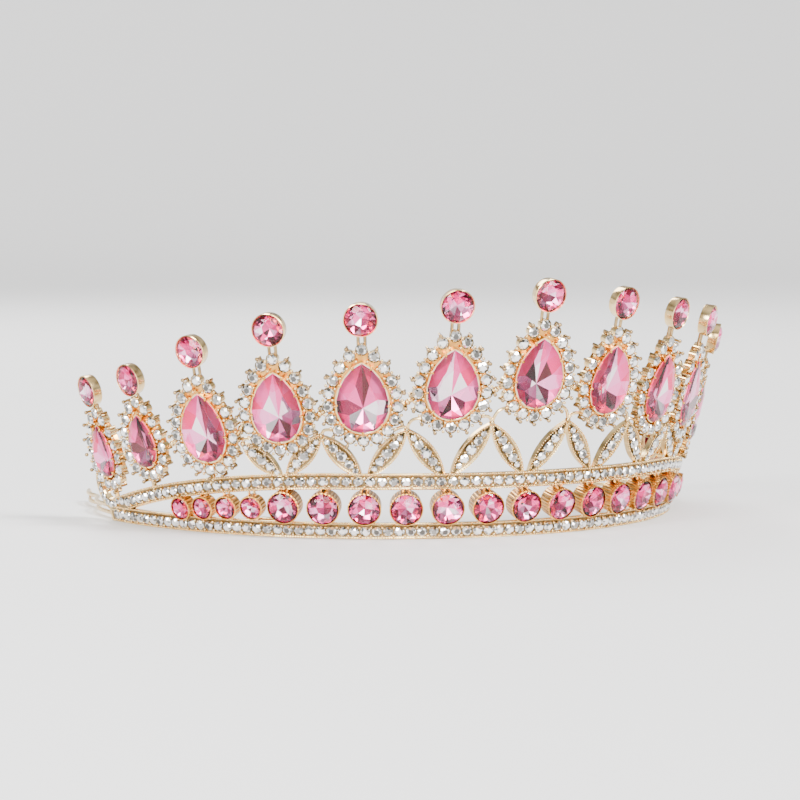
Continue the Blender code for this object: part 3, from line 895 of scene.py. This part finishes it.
bezels = bmesh.new()
stems = bmesh.new()
top_cup = bezel()
for number, placed, size in clusters:
    reach = TOP_DISTANCES[size]
    top = placed @ at(0, reach)
    stamp(bezels, top_cup, top)
    name = side_name(number)
    round_stone("finial_" + name, "top_stone_" + name, TOP_STONE, TOP_FRONT, top)
    stem_foot = size[1] / 2 + HALO_PATH + HALO_TIP_LIFT + STEM_START
    stem = pin(STEM_RADIUS, reach - TOP_BEZEL / 2 + STEM_OVERLAP - stem_foot)
    for side in (-1, 1):
        stamp(stems, stem, placed @ at(side * STEM_SPREAD, stem_foot, STEM_OUT))
finish_piece("bezels", bezels, [pale_gold], sharp=40)
finish_piece("stems", stems, [prong_gold])

# The leaves. Seven V pairs of pointed leaves rise from the upper rail, each a shallow tray of
# pale gold with a bright beaded edge round five clear stones. Thin arched wires tie their
# tips to the halos, and all of it is soldered.
LEAF_TIP_HEIGHTS = [30.4 * MM, 29 * MM, 27.2 * MM, 24.5 * MM]
LEAF_FOOT_HEIGHT = 16.6 * MM
LEAF_FOOT_SPREAD = 0.7 * MM
LEAF_BAY_STEP = 9.85 * MM
LEAF_OVERRUN = 0.8 * MM
LEAF_WIDTH = 5 * MM
LEAF_THICKNESS = 1.3 * MM
LEAF_EDGE = 0.5 * MM
LEAF_SUNK = 0.35 * MM
# The place of each stone along the leaf, and its radius.
LEAF_STONES = [
    (-5.15 * MM, 0.85 * MM),
    (-2.85 * MM, 1.28 * MM),
    (0.0, 1.5 * MM),
    (2.85 * MM, 1.28 * MM),
    (5.15 * MM, 0.85 * MM),
]
LEAF_STONE_SUNK = 0.05 * MM
LEAF_TIP_BALL = 0.75 * MM
LEAF_BEAD = 0.3 * MM
LEAF_BEAD_SIDE = 1.05 * MM
LEAF_EDGE_BEADS = 23
LEAF_EDGE_SHARE = 0.9
LEAF_EDGE_INSET = 0.25 * MM
LEAF_WIRE = 0.42 * MM
LEAF_WIRE_BULGE = 1.2 * MM
LEAF_WIRE_START = 0.5 * MM


def leaf(length):
    """A disc drawn out to two points, thickened, with a sunk floor inside its edge."""
    shape = bmesh.new()
    bmesh.ops.create_circle(shape, cap_ends=True, segments=32, radius=1)
    for vert in shape.verts:
        x, y, _ = vert.co
        vert.co = (x * length / 2, math.copysign(y * y, y) * LEAF_WIDTH / 2, -LEAF_THICKNESS / 2)
    drawn = bmesh.ops.extrude_face_region(shape, geom=shape.faces[:])
    lifted = [g for g in drawn["geom"] if isinstance(g, bmesh.types.BMVert)]
    bmesh.ops.translate(shape, verts=lifted, vec=(0, 0, LEAF_THICKNESS))
    bmesh.ops.recalc_face_normals(shape, faces=shape.faces)
    face = front_face(shape)
    bmesh.ops.inset_region(shape, faces=[face], thickness=LEAF_EDGE)
    sink([face], LEAF_SUNK)
    return as_mesh(shape, "leaf")


def wire_run(points, radius, fineness=2, closed=False):
    """A round wire through points, its ends filled or joined."""
    curve = bpy.data.curves.new("wire_run", "CURVE")
    curve.dimensions = "3D"
    curve.bevel_depth = radius
    curve.bevel_resolution = fineness
    curve.use_fill_caps = not closed
    strand = curve.splines.new("POLY")
    strand.points.add(len(points) - 1)
    for spot, point in zip(strand.points, points):
        spot.co = (*point, 1)
    strand.use_cyclic_u = closed
    holder = bpy.data.objects.new("wire_run", curve)
    shape = bmesh.new()
    shape.from_mesh(bpy.data.meshes.new_from_object(holder))
    bpy.data.objects.remove(holder)
    bmesh.ops.remove_doubles(shape, verts=shape.verts, dist=0.001 * MM)
    return shape


leaves = bmesh.new()
leaf_edges = bmesh.new()
leaf_stones = bmesh.new()
leaf_wires = bmesh.new()
tip_ball = bead(LEAF_TIP_BALL)
leaf_bead = bead(LEAF_BEAD, 1)
leaf_chatons = {radius: chaton(radius) for _, radius in LEAF_STONES}
leaf_front = LEAF_THICKNESS / 2
settings = {number: (placed, size) for number, placed, size in clusters}
for number in range(-3, 4):
    for side in (-1, 1):
        tip_height = LEAF_TIP_HEIGHTS[int(abs(number + side * 0.5))]
        middle = CLUSTER_PLACES[1] * number
        low = seat(middle + side * LEAF_FOOT_SPREAD, LEAF_FOOT_HEIGHT).translation
        tip_place = middle + side * LEAF_BAY_STEP
        high = seat(tip_place, tip_height).translation
        outward = seat((middle + tip_place) / 2, tip_height).col[2].to_3d()
        along = (high - low).normalized()
        across = outward.cross(along).normalized()
        placed = Matrix((along, across, along.cross(across))).transposed().to_4x4()
        placed.translation = (low + high) / 2
        stamp(leaves, leaf((high - low).length + LEAF_OVERRUN), placed)
        stamp(leaves, tip_ball, Matrix.Translation(high))
        for spot, radius in LEAF_STONES:
            station = placed @ at(spot, 0, leaf_front - LEAF_STONE_SUNK)
            set_stones(leaf_stones, leaf_chatons[radius], [station])
        half_length = (high - low).length / 2
        for share in np.linspace(-LEAF_EDGE_SHARE, LEAF_EDGE_SHARE, LEAF_EDGE_BEADS):
            half_width = (1 - share * share) * LEAF_WIDTH / 2 - LEAF_EDGE_INSET
            for edge in (-1, 1):
                spot = at(float(share) * half_length, edge * half_width, leaf_front)
                stamp(leaf_edges, edge_bead, placed @ spot)
        for (a, _), (b, _) in zip(LEAF_STONES, LEAF_STONES[1:]):
            for edge in (-1, 1):
                spot = at((a + b) / 2, edge * LEAF_BEAD_SIDE, leaf_front)
                stamp(leaves, leaf_bead, placed @ spot)
        owner, size = settings[number]
        halo_edge = Vector((side * (size[0] / 2 + LEAF_WIRE_START), -size[1] / 2, 0))
        points = []
        for share in np.linspace(0, 1, 9):
            spot = high.lerp(owner @ halo_edge, float(share))
            points.append(spot + along * LEAF_WIRE_BULGE * math.sin(math.pi * share))
        stamp(leaf_wires, as_mesh(wire_run(points, LEAF_WIRE)))
finish_piece("leaves", leaves, [pale_gold, painted_shade_gold], sharp=45)
finish_piece("leaf_beading", leaf_edges, [pale_gold], sharp=60)
finish_piece("leaf_pave", leaf_stones, [clear_crystal], sharp=None)
finish_piece("leaf_wires", leaf_wires, [pale_gold])

# The solder joints. Neighbouring halos are joined side to side by a short bar of pale gold
# wire with a ball of solder on it, and the outer halos stand on the upper rail by a post.
JOINT_REACH = 2 * MM
JOINT_BAR = 0.6 * MM
JOINT_BALL = 0.85 * MM
POST_RADIUS = 0.7 * MM
POST_TOP = 2.4 * MM
POST_SUNK = 0.8 * MM

joints = bmesh.new()
joint_ball = bead(JOINT_BALL)
for (_, left, left_size), (_, right, right_size) in zip(clusters, clusters[1:]):
    start = left @ Vector((left_size[0] / 2 + JOINT_REACH, widest(left_size), 0))
    end = right @ Vector((-right_size[0] / 2 - JOINT_REACH, widest(right_size), 0))
    stamp(joints, as_mesh(wire_run([start, end], JOINT_BAR)))
    stamp(joints, joint_ball, Matrix.Translation((start + end) / 2))
for number, placed, size in clusters:
    if abs(number) >= LAST_LARGE:
        place = math.copysign(CLUSTER_PLACES[abs(number)], number)
        start = placed @ Vector((0, -size[1] / 2 - POST_TOP, 0))
        end = wall_point(place, rise(place) + RAIL_HEIGHT - POST_SUNK, 0)
        stamp(joints, as_mesh(wire_run([start, end], POST_RADIUS)))
finish_piece("solder_joints", joints, [pale_gold])

# The end scrolls. A flat strip of pale gold with a sunk floor of clear stones curls from the
# back of the last halo down to the band's end, round a small almond opening, and is soldered
# to both.
SCROLL_PLACE = 120.3 * MM
SCROLL_HEIGHT = 9.4 * MM
SCROLL_RADIUS = 4.8 * MM
SCROLL_WIDTH = 3.0 * MM
SCROLL_THICKNESS = 1.6 * MM
SCROLL_START = math.radians(58)
SCROLL_END = math.radians(-128)
SCROLL_EDGE = 0.4 * MM
SCROLL_SUNK = 0.3 * MM
SCROLL_STONE = 0.98 * MM
SCROLL_STONES = 7
SCROLL_STONE_MARGIN = 0.3
SCROLL_STONE_SUNK = 0.1 * MM


def scroll_strip():
    """A small rectangle spun about the scroll's centre, its front sunk between two edges."""
    shape = bmesh.new()
    corners = []
    for out, height in ((-1, -1), (1, -1), (1, 1), (-1, 1)):
        reach = SCROLL_RADIUS + out * SCROLL_WIDTH / 2
        corners.append(shape.verts.new((reach, 0, height * SCROLL_THICKNESS / 2)))
    start = shape.faces.new(corners)
    first = Matrix.Rotation(SCROLL_END, 3, "Z")
    bmesh.ops.rotate(shape, verts=shape.verts, cent=(0, 0, 0), matrix=first)
    bmesh.ops.spin(
        shape,
        geom=[start] + start.edges[:] + start.verts[:],
        cent=(0, 0, 0),
        axis=(0, 0, 1),
        angle=SCROLL_START - SCROLL_END,
        steps=30,
        use_duplicate=False,
    )
    bmesh.ops.recalc_face_normals(shape, faces=shape.faces)
    fronts = [f for f in shape.faces if f.normal.z > 0.9]
    bmesh.ops.inset_region(shape, faces=fronts, thickness=SCROLL_EDGE)
    sink(fronts, SCROLL_SUNK)
    return shape


scrolls = bmesh.new()
scroll_stones = bmesh.new()
scroll_chatons = chaton(SCROLL_STONE)
stone_turns = np.linspace(
    SCROLL_START - SCROLL_STONE_MARGIN, SCROLL_END + SCROLL_STONE_MARGIN, SCROLL_STONES
)
for side in (-1, 1):
    placed = seat(side * SCROLL_PLACE, SCROLL_HEIGHT)
    strip = scroll_strip()
    if side < 0:
        bmesh.ops.scale(strip, verts=strip.verts, vec=(-1, 1, 1))
        bmesh.ops.reverse_faces(strip, faces=strip.faces)
    stamp(scrolls, as_mesh(strip), placed)
    for turn in stone_turns:
        x = side * SCROLL_RADIUS * math.cos(turn)
        y = SCROLL_RADIUS * math.sin(turn)
        station = placed @ at(x, y, SCROLL_THICKNESS / 2 - SCROLL_STONE_SUNK)
        set_stones(scroll_stones, scroll_chatons, [station])
finish_piece("scrolls", scrolls, [pale_gold, painted_shade_gold], sharp=40)
finish_piece("scroll_pave", scroll_stones, [clear_crystal], sharp=None)

# The side wires. A narrow closed loop of springy gold wire lies inside each end of the band,
# held in two straps of flat metal that are curled round it and soldered to the rail.
WIRE_RADIUS = 0.55 * MM
WIRE_INSET = 1.95 * MM
WIRE_LOW = 1.35 * MM
WIRE_HIGH = 3.35 * MM
WIRE_FROM = 60 * MM
WIRE_TO = 169.8 * MM
WIRE_KINK_PLACE = 152 * MM
WIRE_KINK_LENGTH = 7 * MM
WIRE_KINK_DEPTH = 2.4 * MM
TAB_PLACES = [66 * MM, 117 * MM]
TAB_LENGTH = 3.2 * MM
TAB_WALL = 0.5 * MM
TAB_ROOT = 0.45 * MM
TAB_INNER = 3.2 * MM
TAB_TOP = 4.2 * MM
TAB_SOFTENED = 0.1 * MM


def wire_loop(side):
    """Out along the low strand, round the far turn, back along the high one and round."""
    middle = (WIRE_LOW + WIRE_HIGH) / 2
    turn = (WIRE_HIGH - WIRE_LOW) / 2
    places = np.linspace(WIRE_FROM, WIRE_TO, 61)
    bends = np.linspace(-1.2, 1.2, 7)
    route = [(place, WIRE_LOW) for place in places]
    route += [(WIRE_TO + turn * math.cos(a), middle + turn * math.sin(a)) for a in bends]
    route += [(place, WIRE_HIGH) for place in reversed(places)]
    route += [(WIRE_FROM - turn * math.cos(a), middle - turn * math.sin(a)) for a in bends]
    points = []
    for place, height in route:
        kink = math.exp(-(((place - WIRE_KINK_PLACE) / WIRE_KINK_LENGTH) ** 2))
        points.append(wall_point(side * place, height, -WIRE_INSET - WIRE_KINK_DEPTH * kink))
    return wire_run(points, WIRE_RADIUS, fineness=3, closed=True)


def strap(place):
    """The strap's flat section, drawn along the rail and its edges softened."""
    shape = bmesh.new()
    section = [
        (TAB_ROOT, 0),
        (TAB_INNER, 0),
        (TAB_INNER, TAB_TOP + TAB_WALL),
        (TAB_ROOT, TAB_TOP + TAB_WALL),
        (TAB_ROOT, TAB_TOP),
        (TAB_INNER - TAB_WALL, TAB_TOP),
        (TAB_INNER - TAB_WALL, TAB_WALL),
        (TAB_ROOT, TAB_WALL),
    ]
    start = place - TAB_LENGTH / 2
    end = place + TAB_LENGTH / 2
    corners = [shape.verts.new(wall_point(start, height, -inset)) for inset, height in section]
    drawn = bmesh.ops.extrude_face_region(shape, geom=[shape.faces.new(corners)])
    moved = [g for g in drawn["geom"] if isinstance(g, bmesh.types.BMVert)]
    bmesh.ops.translate(shape, verts=moved, vec=wall_point(end, 0, 0) - wall_point(start, 0, 0))
    bmesh.ops.recalc_face_normals(shape, faces=shape.faces)
    soften(shape, shape.edges[:], TAB_SOFTENED)
    return as_mesh(shape, "strap")


straps = bmesh.new()
for side, name in ((-1, "left"), (1, "right")):
    loop = wire_loop(side)
    finish_piece("wire_" + name, loop, [pale_gold], ["side_wire_" + name], 60)
    for place in TAB_PLACES:
        stamp(straps, strap(side * place))
finish_piece("wire_straps", straps, [pale_gold])

# The table. A plain pale sheet, painted matt, that lies flat round the crown and sweeps up
# far behind into a plain backdrop.
FLOOR_FLAT = 3.0
FLOOR_SWEEP = 1.6
FLOOR_SWEEP_ANGLE = math.radians(80)
FLOOR_PAINT = (0.9, 0.895, 0.89, 1)

floor_shape = bmesh.new()
profile = [floor_shape.verts.new((0, 0, 0)), floor_shape.verts.new((FLOOR_FLAT, 0, 0))]
for turn in np.linspace(0.1, 1.0, 10):
    angle = float(turn) * FLOOR_SWEEP_ANGLE
    out = FLOOR_FLAT + FLOOR_SWEEP * math.sin(angle)
    profile.append(floor_shape.verts.new((out, 0, FLOOR_SWEEP * (1 - math.cos(angle)))))
line = [floor_shape.edges.new(pair) for pair in zip(profile, profile[1:])]
bmesh.ops.spin(
    floor_shape,
    geom=profile + line,
    cent=(0, 0, 0),
    axis=(0, 0, 1),
    angle=math.tau,
    steps=64,
    use_merge=True,
)
bmesh.ops.remove_doubles(floor_shape, verts=floor_shape.verts, dist=0.1 * MM)
bmesh.ops.recalc_face_normals(floor_shape, faces=floor_shape.faces)
floor_data = as_mesh(floor_shape, "floor")
floor_data.shade_smooth()
floor_paint = start_material("floor_paint", {"Base Color": FLOOR_PAINT, "Roughness": 0.6})[0]
floor_data.materials.append(floor_paint)
floor = add_object("floor", floor_data)

# The light. Five soft boxes stand round the crown, a broad soft sun shines in as from a
# window, and light and dark bands in the sky give the gold and the foil something to mirror.
LIGHT_AIM = Vector((0, 0, 0.03))
# Name, place, side of the square in metres, and watts.
SOFT_BOXES = [
    ("key_light", (0.5, -1.3, 1.1), 0.5, 24),
    ("front_light", (-0.8, -1.35, 0.8), 0.8, 16),
    ("side_light", (-1.3, -0.6, 0.7), 0.5, 20),
    ("back_light", (0.1, 1.2, 1.0), 0.7, 18),
    ("low_light", (-0.5, -1.5, 0.25), 0.35, 8),
]
SUN_STRENGTH = 3.2
SUN_SOFTNESS = math.radians(14)
SUN_DIRECTION = Vector((-0.5, 0.8, -1.1))
SKY_BANDS = [(0.0, 0.4), (0.55, 0.9), (0.62, 0.15), (0.75, 0.8), (0.85, 0.2), (1.0, 1.3)]


def looking(direction, spot=(0, 0, 0)):
    """The frame of a lamp or a camera at this spot, turned to face along a direction."""
    return Matrix.Translation(spot) @ direction.to_track_quat("-Z", "Y").to_matrix().to_4x4()


for name, spot, side, watts in SOFT_BOXES:
    lamp = bpy.data.lights.new(name, "AREA")
    lamp.size = side
    lamp.energy = watts
    add_object(name, lamp).matrix_world = looking(LIGHT_AIM - Vector(spot), spot)
sun = bpy.data.lights.new("window_light", "SUN")
sun.energy = SUN_STRENGTH
sun.angle = SUN_SOFTNESS
add_object("window_light", sun).matrix_world = looking(SUN_DIRECTION)

world = bpy.data.worlds.new("studio")
bpy.context.scene.world = world
world.use_nodes = True
sky_nodes, sky_links = world.node_tree.nodes, world.node_tree.links
sky_where = sky_nodes.new("ShaderNodeTexCoord")
sky_split = sky_nodes.new("ShaderNodeSeparateXYZ")
sky_half = sky_nodes.new("ShaderNodeMapRange")
sky_half.inputs["From Min"].default_value = -1
sky_ramp = sky_nodes.new("ShaderNodeValToRGB")
set_stops(sky_ramp, [(height, (grey, grey, grey)) for height, grey in SKY_BANDS])
sky_links.new(sky_where.outputs["Generated"], sky_split.inputs["Vector"])
sky_links.new(sky_split.outputs["Z"], sky_half.inputs["Value"])
sky_links.new(sky_half.outputs["Result"], sky_ramp.inputs["Fac"])
sky_links.new(sky_ramp.outputs["Color"], sky_nodes["Background"].inputs["Color"])

# The camera, at the photograph's angle round the crown, raised above the table because the
# photograph looks up from under the crown's foot.
CAMERA_TURN = math.radians(-25.7)
CAMERA_RISE = math.radians(4)
CAMERA_DISTANCE = 0.78
CAMERA_AIM = Vector((-0.0054, 0.0045, 0.031))
CAMERA_LENS = 130

camera = add_object("camera", bpy.data.cameras.new("camera"))
camera.data.lens = CAMERA_LENS
heading = Vector(
    (
        math.sin(CAMERA_TURN) * math.cos(CAMERA_RISE),
        -math.cos(CAMERA_TURN) * math.cos(CAMERA_RISE),
        math.sin(CAMERA_RISE),
    )
)
camera.matrix_world = looking(-heading, CAMERA_AIM + heading * CAMERA_DISTANCE)
bpy.context.scene.camera = camera
